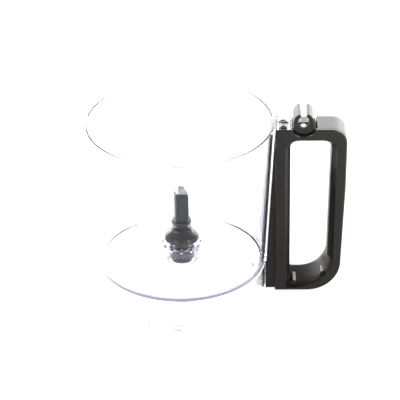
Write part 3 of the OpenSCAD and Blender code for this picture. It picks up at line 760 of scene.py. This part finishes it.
def bodyGrid():
    # across the ring: parting chamfer, outer side, back fillet, back face, fillet, inner side
    h = handle
    front, back, edge, groove = h["split"] + 0.04, h["back"], h["backFillet"], h["groove"]
    angles = rayAngles(creaseOutline, outerOutline("body", 0))
    inner = InnerSide(angles)
    t = np.linspace(0, np.pi / 2, 8)
    rows = [ringRow(onRays(outerOutline("body", groove), angles), front),
            ringRow(onRays(outerOutline("body", 0), angles), front + groove)]
    rows += [ringRow(onRays(outerOutline("body", edge * (1 - math.cos(a)) * 0.55), angles),
                     back - edge * (1 - math.sin(a))) for a in t]
    rows += [inner.row(back - edge * (1 - math.sin(a)), edge * (1 - math.cos(a))) for a in t[::-1]]
    rows += [inner.row(y) for y in np.linspace(back - edge, front + groove, 16)[1:]]
    rows += [inner.row(front, groove)]
    return np.stack(rows)


coverPoints = [(innerX0 + 4, handle["foot"] + 5.5), (innerX1 - 6, handle["foot"] + 15.6),
               (innerX1 + 2, handle["top"] - 9.8)]


def makeHandle():
    h = handle
    body = solid(bodyGrid(), True)
    body.name = "handle_back_half"
    gap = 0.3
    strip = [
        (bowl["footRadius"] + gap, h["foot"], 0.6), (h["left"] + 3, h["foot"], 0.3),
        (h["left"] + 3, h["step"], 0.3),
        (wallRadius(h["step"]) + bowl["padThick"] + 0.05, h["step"], 0.3),
        (bowl["footRadius"] + bowl["padThick"] + 0.05, bowl["floorTop"], 1.0),
        (bowl["footRadius"] + gap, bowl["floorTop"] - 1.5, 0.6),
    ]
    carve(body, [solid(prism(cornered(strip), -10.46, 10.5, 1.0, (0, 2, 1))),
                 rodPiece((rodX, screwY), 3.8, h["step"] - 9, h["step"])], "UNION")
    holes = [rodPiece((rodX, rodY), 4.3, 0, h["top"] + 9, segments=64),
             rodPiece((rodX, screwY), screws["insert"], h["step"] - 9, h["step"] + 1),
             rodPiece((socketX, screws["socketY"]), screws["tapped"], innerZ1 + 0.6, h["top"])]
    holes += [rodPiece((y, screws["footZ"]), screws["insert"], 76, 84.8, axis=0)
              for y in (-screws["footY"], screws["footY"])]
    for p in coverPoints:
        holes += [rodPiece(p, 3.22, h["split"] - 1, h["split"] + 14.02, axis=1),
                  rodPiece(p, screws["clear"], h["split"] - 1, h["back"] + 1, axis=1),
                  rodPiece(p, screws["headRoom"], h["back"] - 2.5, h["back"] + 1, axis=1)]
    carve(body, holes)
    show(body, "bowl", "black", ["handle_body"])

    cover = solid(coverGrid(), True)
    cover.name = "handle_front_half"
    carve(cover, [rodPiece(p, 3.2, h["split"] - 1, h["split"] + 14, axis=1) for p in coverPoints], "UNION")
    carve(cover, [rodPiece(p, screws["tapped"], h["split"] + 2, h["split"] + 15, axis=1) for p in coverPoints]
          + [rodPiece((rodX, screwY), 3.82, h["step"] - 9, h["step"] + 1)])
    show(cover, "bowl", "black", ["handle_front_cover"])


makeHandle()
print("handle done")

socketLow, socketHigh = boxOf("hinge_socket")
socket = {"outer": 9.1, "bore": 5.5, "slotHalf": 2.5, "fillet": 4.6, "shelf": 3.4, "edge": 0.9,
          "left": socketX - socketLow[0], "right": socketHigh[0] - socketX, "base": socketLow[2] - socketZ}
screwSeat = socketZ - socket["bore"] - 2.3


def socketOutline(inset):
    # base, hollow saddle, outer circle, rounded horn, bore and back again, as arcs about fixed centres
    s = socket
    tip = (s["outer"] - s["bore"]) / 2
    middle = (s["outer"] + s["bore"]) / 2
    tipX = s["slotHalf"] + tip
    tipZ = math.sqrt(middle**2 - tipX**2)
    lean = math.degrees(math.atan2(tipZ, tipX))
    reach = s["outer"] + s["fillet"]
    saddleX = math.sqrt(reach**2 - s["shelf"] ** 2)
    turn = math.degrees(math.atan2(-s["shelf"], saddleX))
    hollow = s["fillet"] + inset

    def side(edge):
        # the right half from the base to the horn's end, for a base that reaches to edge
        edge = edge - inset
        start = -math.degrees(math.acos((edge - saddleX) / hollow))
        return np.concatenate([
            np.linspace([0.4, s["base"] + inset], [edge, s["base"] + inset], 14),
            arcPoints((saddleX, -s["shelf"]), hollow, start, turn - 180, 14),
            arcPoints((0, 0), s["outer"] - inset, turn, lean, 26)[1:],
            arcPoints((tipX, tipZ), tip - inset, lean, lean + 180, 12)[1:],
        ])

    right, left = side(s["right"]), side(s["left"])
    bore = arcPoints((0, 0), s["bore"] + inset, lean, lean - 180 - 2 * lean, 56)[1:-1]
    return np.concatenate([right, bore, (left * (-1, 1))[::-1]])


def frontOutline(inset):
    # in front of the parting the low part is a disc that fills the cover's scallop
    outline = socketOutline(inset)
    distance = np.hypot(*outline.T)[:, None]
    disc = outline / distance * (handle["scallop"] - 0.2 - inset)
    disc[:, 0] = np.maximum(disc[:, 0], inset - socket["left"])
    low = (outline[:, 1:] < -handle["socketUp"] + 0.1) & (distance > (socket["bore"] + socket["outer"]) / 2)
    return np.where(low, disc, outline)


def makeSocket():
    h, s = handle, socket
    low, high, edge = socketLow[1], socketHigh[1], s["edge"]
    t = np.linspace(0, np.pi / 2, 6)
    rows = [(frontOutline(edge * (1 - math.sin(a))), low + edge * (1 - math.cos(a)) * 0.9) for a in t]
    rows += [(frontOutline(0), h["split"] - 0.02), (socketOutline(0), h["split"] + 0.04)]
    rows += [(socketOutline(edge * (1 - math.sin(a))), high - edge * (1 - math.cos(a))) for a in t[::-1]]
    grid = np.stack([np.column_stack([socketX + o[:, 0], np.full(len(o), y), socketZ + o[:, 1]])
                     for o, y in rows])
    piece = solid(grid)
    piece.name = "hinge_socket_tube"
    screwPlace = (socketX, screws["socketY"])
    carve(piece, [rodPiece(screwPlace, screws["clear"], h["step"] - 1, screwSeat + 1),
                  rodPiece(screwPlace, 3.95, screwSeat, screwSeat + 5)])
    joinFlats(piece)
    show(piece, "bowl", "black", ["hinge_socket"], 30)


makeSocket()
print("socket done")


def screwGrid(head, height, shank, length, pitch=1.25):
    # from the middle of the domed head, over its side and along a threaded shank to
    # the point; a cross is pressed in by lowering the points near either of two lines
    angle = np.linspace(0, 2 * np.pi, 64, endpoint=False)
    radius = np.linspace(0, head * 0.97, 26)
    dome = height * (1 - 0.32 * (radius / head) ** 2.4)
    x, y = np.abs(radius[:, None] * np.cos(angle)), np.abs(radius[:, None] * np.sin(angle))
    arm = (1 - smooth(np.minimum(x, y), 0.3, 0.52)) * (1 - smooth(np.maximum(x, y), head * 0.5, head * 0.6))
    top = np.stack([radius[:, None] * np.cos(angle), radius[:, None] * np.sin(angle),
                    dome[:, None] - 0.9 * arm], -1)
    side = np.array([(head, height * 0.6), (head, 0.15), (head - 0.15, 0), (shank + 0.1, 0), (shank, -0.15)])
    along = np.arange(-0.3, -length + 1.2, -pitch / 5)
    thread = np.abs(((along[:, None] / pitch - angle / (2 * np.pi)) % 1) - 0.5) * 2
    point = np.array([(shank * 0.55, 0.4 - length), (0, -length)])
    r = np.concatenate([side[:, :1] + 0 * angle, shank - 0.34 * thread, point[:, :1] + 0 * angle])
    z = np.concatenate([side[:, 1], along, point[:, 1]])[:, None] + 0 * angle
    return np.concatenate([top, np.stack([r * np.cos(angle), r * np.sin(angle), z], -1)])


def aimed(grid, place, direction):
    # a grid made along +Z, turned to a main direction and moved to its place
    x, y, z = grid[..., 0], grid[..., 1], grid[..., 2]
    turnedTo = {"+z": (x, y, z), "+y": (x, z, -y), "-x": (-z, y, x)}[direction]
    return np.stack(turnedTo, -1) + np.array(place)


def makeScrews():
    h, pan = handle, screws["pan"]
    socketScrew = aimed(screwGrid(*screws["dome"], screwSeat - innerZ1 - 0.8),
                        (socketX, screws["socketY"], screwSeat), "+z")
    flangeScrew = aimed(screwGrid(*pan, 11.1), (rodX, screwY, h["top"] - 0.4), "+z")
    footLow, footHigh = (corner[0] for corner in boxOf("foot_screws"))
    foot = [aimed(screwGrid(*pan, footHigh - footLow - 2), (footLow + 2, y, screws["footZ"]), "-x")
            for y in (-screws["footY"], screws["footY"])]
    backY = h["back"] - 2.4
    cover = [aimed(screwGrid(*pan, 14.5), (x, backY, z), "+y") for x, z in coverPoints]
    made = [("socket_screw", [socketScrew], "zinc_screw", "zinc", "hinge_socket_screw"),
            ("flange_screw_head", [flangeScrew], "black_screw", "blackZinc", "flange_screw"),
            ("foot_screw_pair", foot, "zinc_screw", "zinc", "foot_screws"),
            ("cover_screw_set", cover, "black_screw", "blackZinc", "cover_screws")]
    for name, grids, slot, finish, node in made:
        show(meshOf(name, [(g, False, False) for g in grids]), "bowl", finish, [node], 40)


makeScrews()
print("screws done")

shaftLow, shaftHigh = boxOf("drive_shaft")
sleeveLow, sleeveHigh = boxOf("drive_sleeve")
sealLow, sealHigh = boxOf("spindle_seal")
couplingLow, couplingHigh = boxOf("drive_coupling")
spindle = {
    "shaft": 4.0,
    "clipGroove": 0.58,
    "tipFoot": sleeveHigh[2] + 0.5,
    "tipWide": 5.3,
    "tipTop": 3.1,
    "flat": 4.4,
    "sleeveHalf": 6.3,
    "sleeveCorner": 8.06,
    "sleeveTurn": 9.0,
    "collarTop": sleeveLow[2] + 3.3,
    "collar": 9.4,
    "ribs": 16,
    "driveSocket": 5.0,
    "driveDepth": 8.0,
}
around = np.linspace(0, 2 * np.pi, 128, endpoint=False)


def squareRadius(half, corner, turn=0.0, power=10):
    # distance to the side of a square with its corners rounded off, at each angle around
    a = around - math.radians(turn)
    side = half / (np.abs(np.cos(a)) ** power + np.abs(np.sin(a)) ** power) ** (1 / power)
    return np.minimum(side, corner)


def polarGrid(rows):
    # rows of (radius at each angle, height)
    r = np.stack([np.broadcast_to(radius, around.shape) for radius, _ in rows])
    z = np.array([height for _, height in rows])[:, None] + 0 * around
    return np.stack([r * np.cos(around), r * np.sin(around), z], -1)


def makeShaft():
    s = spindle
    foot, top, r = shaftLow[2], shaftHigh[2], s["shaft"]
    flat = squareRadius(s["flat"], 99)
    clip = boxOf("retaining_clip")[0][2] - 0.02
    groove = r - s["clipGroove"]
    rows = [(0, foot), (r - 0.6, foot), (r, foot + 0.6), (r, clip - 0.05), (groove, clip),
            (groove, clip + 1), (r, clip + 1.05), (r, s["tipFoot"] - 0.4),
            (np.minimum(s["tipWide"] - 0.2, flat), s["tipFoot"])]
    for t in np.linspace(0, 1, 9):
        wide = s["tipWide"] + (s["tipTop"] - s["tipWide"]) * t
        rows.append((np.minimum(wide, flat), s["tipFoot"] + 0.15 + t * (top - s["tipFoot"] - 0.75)))
    rows += [(s["tipTop"] - 0.25, top - 0.2), (s["tipTop"] - 0.75, top), (0, top)]
    show(meshOf("steel_shaft", [(polarGrid(rows), False, False)]), "spindle", "steel",
         ["drive_shaft"], 30)


def makeSleeve():
    # a round collar that runs up into a square with rounded corners and a bevelled top
    s = spindle
    low, high, bore = sleeveLow[2], sleeveHigh[2], s["shaft"] + 0.02
    square = squareRadius(s["sleeveHalf"], s["sleeveCorner"], s["sleeveTurn"])
    c, top = s["collar"], s["collarTop"]
    rows = [(bore, low), (c - 0.5, low), (c - 0.12, low + 0.15), (c, low + 0.5), (c, top - 0.9),
            (c - 0.25, top - 0.3), (c - 0.9, top), (square + 0.35, top + 0.02),
            (square + 0.1, top + 0.25), (square, top + 0.7)]
    rows += [(square, z) for z in np.linspace(top + 1.5, high - 2.2, 8)]
    rows += [(square, high - 1.9), (square - 0.12, high - 1.6), (square * 0.83, high - 0.25),
             (square * 0.8, high), (bore + 0.2, high), (bore, high - 0.2)]
    show(meshOf("square_sleeve", [(polarGrid(rows), True, False)]), "spindle", "sleeve",
         ["drive_sleeve"], 30)


def makeSeal():
    # turned outline of the bellows: waist, small collar, bell with a lip, hollow below
    top, foot = sealHigh[2], sealLow[2]
    r = spindle["shaft"] + 0.02
    corners = [(r, foot + 6.7, 0.1), (7.5, foot + 6.7, 0.6), (10.7, foot + 5.2, 0.8),
               (12.6, foot + 2.5, 1.2), (14.4, foot, 0.4), (15.7, foot, 0.45),
               (16.2, foot + 1.0, 0.8), (15.7, foot + 2.7, 1.5), (14.0, foot + 4.9, 3.0),
               (10.8, foot + 7.0, 3.0), (8.1, foot + 9.0, 0.7), (9.3, top - 7.4, 0.5),
               (9.3, top - 5.2, 0.5), (5.5, top - 4.5, 0.8), (5.3, top, 0.3), (r, top, 0.1)]
    show(meshOf("rubber_seal", [(turned(roundCorners(corners, 7), 128), True, False)]),
         "spindle", "rubber", ["spindle_seal"], 40)


def makeCoupling():
    # a cone with grooves cut to a constant depth, hollow below for a keyed drive
    low, high = couplingLow[2], couplingHigh[2]
    ribs = spindle["ribs"]
    wave = np.cos(around * ribs)
    groove = smooth(-wave, 0.15, 0.75)
    key = 1.2 * (1 - smooth(np.abs(np.sin(around)) * 6, 1.1, 1.35))
    # share of the height, what the radius falls short by and how deep the grooves are
    steps = [(0, 0.5, 0.9), *[(t, 0, 1.1) for t in np.linspace(0.03, 0.88, 8)],
             (0.93, 0, 0.7), (0.965, 0, 0), (1, 0.4, 0)]
    rows = [(couplingHigh[1] - 2.8 * (1 - t) - short - deep * groove, low + t * (high - low))
            for t, short, deep in steps]
    hole, socketRadius, depth = spindle["shaft"] + 0.02, spindle["driveSocket"] + key, spindle["driveDepth"]
    rows += [(hole, high), (hole, low + depth + 0.1), (socketRadius, low + depth), (socketRadius, low + 0.5),
             (socketRadius + 0.4, low)]
    show(meshOf("ribbed_coupling", [(polarGrid(rows), True, False)]), "spindle", "grey",
         ["drive_coupling"], 35)


makeShaft()
makeSleeve()
makeSeal()
makeCoupling()
print("spindle done")


def makeInterlock():
    # rod, the hole that takes its ends, and the small radius that stands for the axis
    rod, hole, axis = 2.5, 2.52, 0.02
    low, high = boxOf("interlock_button")
    r, top = (high[0] - low[0]) / 2, high[2]
    corners = [(hole, low[2], 0.1), (r, low[2], 0.3), (r, top, 0.8), (1.7, top, 0.3), (1.2, top - 0.8, 0.4),
               (axis, top - 0.8, 0), (axis, low[2] + 3, 0), (hole, low[2] + 3, 0.1)]
    show(meshOf("release_button", [(turned(roundCorners(corners, 5), 64, (rodX, rodY)), True, False)]),
         "interlock", "black", ["interlock_button"])

    low, high = boxOf("interlock_rod")
    clip = boxOf("spring_clip")[0][2]
    groove = rod - 0.5
    corners = [(axis, low[2], 0), (rod, low[2], 0.5), (rod, clip - 0.02, 0.1), (groove, clip, 0),
               (groove, clip + 1, 0), (rod, clip + 1.02, 0.1), (rod, high[2], 0.5), (axis, high[2], 0)]
    show(meshOf("interlock_bar", [(turned(roundCorners(corners, 5), 48, (rodX, rodY)), True, False)]),
         "interlock", "steel", ["interlock_rod"])

    low, high = boxOf("interlock_foot")
    r, rodFoot = (high[0] - low[0]) / 2, boxOf("interlock_rod")[0][2]
    corners = [(axis, low[2], 0), (r, low[2], 1.2), (r, high[2], 0.3), (hole, high[2], 0.1),
               (hole, rodFoot, 0), (axis, rodFoot, 0)]
    show(meshOf("interlock_shoe", [(turned(roundCorners(corners, 6), 64, (rodX, rodY)), True, False)]),
         "interlock", "white", ["interlock_foot"])

    # the coil: a round wire carried along a screw line whose ends lie flat
    low, high = boxOf("interlock_spring")
    outer, turns, wire = (high[0] - low[0]) / 2, 13, 0.45
    t = np.linspace(0, 1, turns * 28)
    rise = np.interp(t, [0, 0.07, 0.93, 1], [0, 0.9 / 38, 1 - 0.9 / 38, 1])
    z = low[2] + wire + (high[2] - low[2] - 2 * wire) * rise
    turn = 2 * np.pi * turns * t
    mean = outer - wire
    section = np.linspace(0, 2 * np.pi, 10, endpoint=False)
    radius = mean + wire * np.cos(section)
    grid = np.stack([rodX + radius * np.cos(turn)[:, None], rodY + radius * np.sin(turn)[:, None],
                     z[:, None] + wire * np.sin(section)], -1)
    coil = meshOf("return_spring", [(grid, False, True)])
    show(coil, "bowl", "spring", ["interlock_spring"], 60)
    joint = next(j for j in frame["joints"] if j["name"] == "interlock_press")
    span = high[2] - low[2]
    1 - joint["range_m"][1] / millimetre / span
    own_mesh(coil)


makeInterlock()
print("interlock done")

# CAD nodes whose shape is right keep it and get their finish
keptNodes = {
    "lower_bushing": "bronze", "upper_bushing": "bronze", "shaft_seal": "rubber", "coupling_pin": "steel",
    "thrust_washer": "white", "retaining_clip": "spring", "flange_insert": "brass", "foot_inserts": "brass",
    "upper_guide": "white", "lower_guide": "white", "spring_clip": "spring",
}
for nodeName, finish in keptNodes.items():
    node = frame["nodes"][nodeName]
    node.data.materials.clear()
    node.data.materials.append(finishes[finish])

stage = {"halfSize": 12.0, "floorTone": (0.2, 0.2, 0.2),
         "paintedFloorGlow": (0.85, 3.2), "glowFrom": 0.1, "glowTo": 0.22,
         "front": 0.8, "back": 5.3, "above": -0.3, "sides": 0.6}

# soft boxes: place, size and power
softBoxes = [((-1.3, -1.1, 1.7), 0.4, 45), ((1.4, -1.1, 1.7), 0.4, 45)]


def makeFloor():
    half = stage["halfSize"]
    corners = np.array([[-half, -half, 0], [half, -half, 0], [half, half, 0], [-half, half, 0]])
    mesh = bpy.data.meshes.new("floor")
    mesh.from_pydata(corners.tolist(), [], [[0, 1, 2, 3]])
    floor = bpy.data.objects.new("floor", mesh)
    bpy.context.scene.collection.objects.link(floor)
    f = newFinish("pale_floor")
    # painted light: the floor glows evenly in the middle and more strongly to the left and right of it
    aside = Value(f.tree, f.node("ShaderNodeSeparateXYZ", Vector=f.place(centre=(-0.06, 0, 0))).outputs[0])
    away = (aside * aside).between(stage["glowFrom"] ** 2, stage["glowTo"] ** 2)
    low, high = stage["paintedFloorGlow"]
    # the emission colour paints a brighter pool of light on the floor to the left and right
    surface = f.node("ShaderNodeBsdfPrincipled", Base_Color=(*stage["floorTone"], 1), Roughness=0.9,
                     Emission_Color=f.blendColours(away, (low,) * 3, (high,) * 3))
    surface.inputs["Emission Strength"].default_value = 1
    surface.inputs["Specular IOR Level"].default_value = 0
    mesh.materials.append(f.output(surface.outputs[0]))


def makeWorld():
    # a light tent, open towards the viewer: brightest behind, lighter at the sides, dimmer overhead
    world = bpy.data.worlds.new("tent")
    bpy.context.scene.world = world
    f = Finish(world)
    direction = f.node("ShaderNodeTexCoord").outputs["Generated"]
    parts = f.node("ShaderNodeSeparateXYZ", Vector=direction)
    x, y, z = (Value(f.tree, parts.outputs[k]) for k in range(3))
    back = y.between(0.55, 0.82)
    above = z.between(0.55, 0.9)
    sides = (x * x).between(0.2, 0.9)
    level = stage["front"] + back * stage["back"] + above * stage["above"] + sides * stage["sides"]
    light = f.node("ShaderNodeBackground", Color=(1, 1, 1, 1), Strength=level)
    f.node("ShaderNodeOutputWorld", Surface=light.outputs[0])


def makeSoftBoxes():
    for k, (place, size, power) in enumerate(softBoxes):
        data = bpy.data.lights.new(f"soft_box_{k}", "AREA")
        data.shape, data.size, data.energy = "DISK", size, power
        lamp = bpy.data.objects.new(f"soft_box_{k}", data)
        bpy.context.scene.collection.objects.link(lamp)
        lamp.location = place
        lamp.rotation_euler = (-Vector(place)).to_track_quat("-Z", "Y").to_euler()


makeFloor()
makeWorld()
makeSoftBoxes()
view = bpy.context.scene.view_settings
view.view_transform, view.exposure, view.gamma = "Standard", 0.1, 0.85
